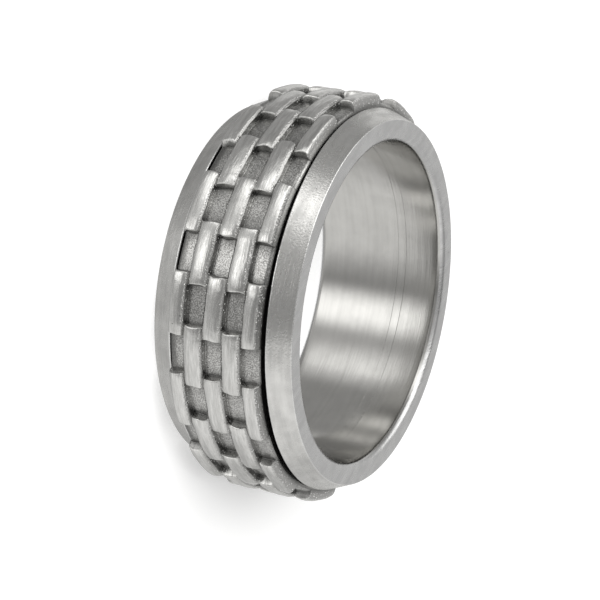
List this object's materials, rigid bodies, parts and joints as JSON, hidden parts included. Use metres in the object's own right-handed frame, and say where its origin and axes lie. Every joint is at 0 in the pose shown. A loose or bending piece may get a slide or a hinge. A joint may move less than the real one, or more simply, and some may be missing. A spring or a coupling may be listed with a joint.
{
  "type": "spinner ring",
  "caption": "Wide steel finger ring with a loose outer band of raised staggered bars that spins between two bevelled flanges.",
  "frame": {"origin": "centre of the ring on the surface that its lower end face rests on", "axes": "+Z along the ring's axis, from the lower flange to the collar; -Y is the side towards the camera"},
  "size_m": [0.0252, 0.0252, 0.009],
  "materials": {
    "sleeve_steel": "satin bore and flange",
    "collar_steel": "satin, brushed round the bevel",
    "spinner_steel": "brushed bars over blasted cells"
  },
  "bodies": {
    "core": {"core_sleeve": "sleeve_steel", "retaining_collar": "collar_steel"},
    "spinner": {"spinner_band": "spinner_steel"}
  },
  "joints": [
    {"name": "spinner_turn", "type": "hinge", "parent": "core", "child": "spinner", "pos_m": [0, 0, 0.0045], "axis": [0, 0, 1], "continuous": true}
  ]
}
